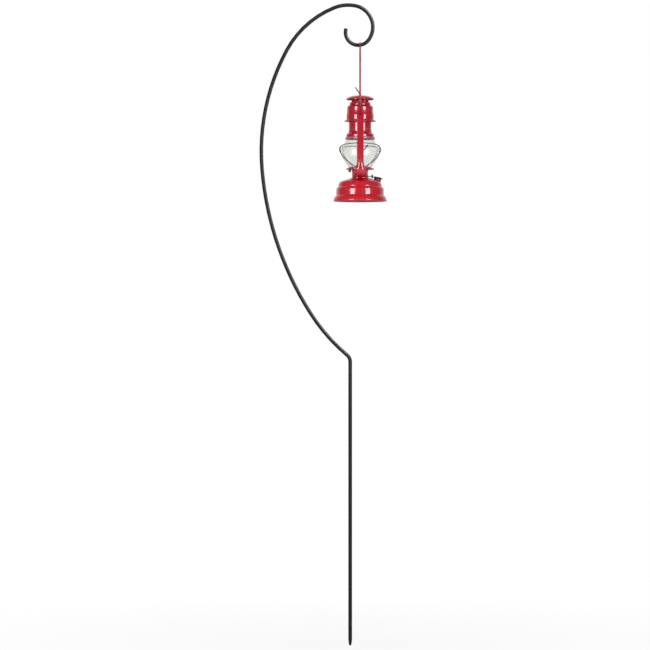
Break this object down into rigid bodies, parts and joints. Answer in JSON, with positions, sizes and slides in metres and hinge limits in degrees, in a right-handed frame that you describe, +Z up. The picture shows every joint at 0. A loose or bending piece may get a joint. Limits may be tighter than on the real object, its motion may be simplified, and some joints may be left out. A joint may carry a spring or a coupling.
{
  "type": "lantern holder",
  "caption": "Garden stake bent from one round bar into a shepherd's hook, with a red enamelled hurricane oil lantern hanging by its wire bail in the curl.",
  "frame": {"origin": "on the bar's axis where it enters the ground, 254 mm above the spike's tip", "axes": "+Z up along the straight stake; the hook's bow leans to -X and its curl and the lantern lie to +X; the lantern's side tubes lie at -Y and +Y"},
  "size_m": [0.3229, 0.1474, 1.6272],
  "materials": {
    "pole_black": "semi-gloss powder coat",
    "enamel_red": "gloss enamel",
    "wire_red": "gloss enamel on wire",
    "globe_glass": "clear, faintly green",
    "burner_brass": "satin, dulled",
    "lever_dark": "satin",
    "wick_cotton": "woven cotton",
    "gasket_rubber": "matte"
  },
  "bodies": {
    "pole": {"hook_pole": "pole_black"},
    "bail": {"bail": "wire_red"},
    "lantern": {"tank_shell": "enamel_red", "tank_bottom": "enamel_red", "filler_neck": "enamel_red", "air_box": "enamel_red", "burner_cup": "burner_brass", "wick_tube": "burner_brass", "burner_cone": "burner_brass", "left_tube": "enamel_red", "right_tube": "enamel_red", "canopy": "enamel_red", "left_ear": "enamel_red", "right_ear": "enamel_red", "lever_bracket": "enamel_red", "front_guard_inner": "wire_red", "front_guard_outer": "wire_red", "rear_guard_inner": "wire_red", "rear_guard_outer": "wire_red"},
    "wick_winder": {"wick_shaft": "burner_brass", "spur_wheels": "burner_brass", "wick_knob": "burner_brass"},
    "wick": {"wick": "wick_cotton"},
    "filler_seal": {"filler_gasket": "gasket_rubber"},
    "filler_cap": {"filler_cap": "enamel_red"},
    "lift_lever": {"lift_lever": "lever_dark"},
    "globe_carrier": {"globe_plate": "enamel_red", "plate_knob": "burner_brass", "globe": "globe_glass"},
    "hood": {"chimney": "enamel_red", "bell": "enamel_red", "hood_pan": "enamel_red", "rain_cap": "enamel_red", "hood_lug": "enamel_red"},
    "hood_ring": {"hood_ring": "wire_red"}
  },
  "joints": [
    {"name": "bail_swing", "type": "hinge", "parent": "pole", "child": "bail", "pos_m": [0.02621, 0, 1.26732], "axis": [1, 0, 0], "range_deg": [-45, 45]},
    {"name": "lantern_tilt", "type": "hinge", "parent": "bail", "child": "lantern", "pos_m": [0.02506, 0, 1.10728], "axis": [0, 1, 0], "range_deg": [-60, 60]},
    {"name": "wick_turn", "type": "hinge", "parent": "lantern", "child": "wick_winder", "pos_m": [0.02506, 0.0056, 0.93478], "axis": [-1, 0, 0], "range_deg": [-57.3, 114.6]},
    {"name": "wick_feed", "type": "slide", "parent": "lantern", "child": "wick", "axis": [0, 0, 1], "range_m": [-0.004, 0.008]},
    {"name": "filler_lift", "type": "slide", "parent": "lantern", "child": "filler_seal", "axis": [0.2079, 0, 0.9781], "range_m": [0, 0.006]},
    {"name": "filler_turn", "type": "hinge", "parent": "filler_seal", "child": "filler_cap", "pos_m": [0.06856, 0, 0.92368], "axis": [0.2079, 0, 0.9781], "range_deg": [0, 900]},
    {"name": "lever_press", "type": "hinge", "parent": "lantern", "child": "lift_lever", "pos_m": [0.02906, -0.04, 0.94913], "axis": [0, 1, 0], "range_deg": [0, 30]},
    {"name": "globe_lift", "type": "slide", "parent": "lantern", "child": "globe_carrier", "axis": [0, 0, 1], "range_m": [0, 0.008]},
    {"name": "hood_lift", "type": "slide", "parent": "globe_carrier", "child": "hood", "axis": [0, 0, 1], "range_m": [0, 0.016]},
    {"name": "ring_lean", "type": "hinge", "parent": "hood", "child": "hood_ring", "pos_m": [0.02506, 0, 1.14268], "axis": [0, 1, 0], "range_deg": [0, 70]}
  ],
  "couplings": [
    {"joint": "wick_turn", "follows": "wick_feed", "rad_per_m": 249.9},
    {"joint": "filler_lift", "follows": "filler_turn", "m_per_rad": 0.00038197},
    {"joint": "lever_press", "follows": "globe_lift", "rad_per_m": 65.2}
  ]
}
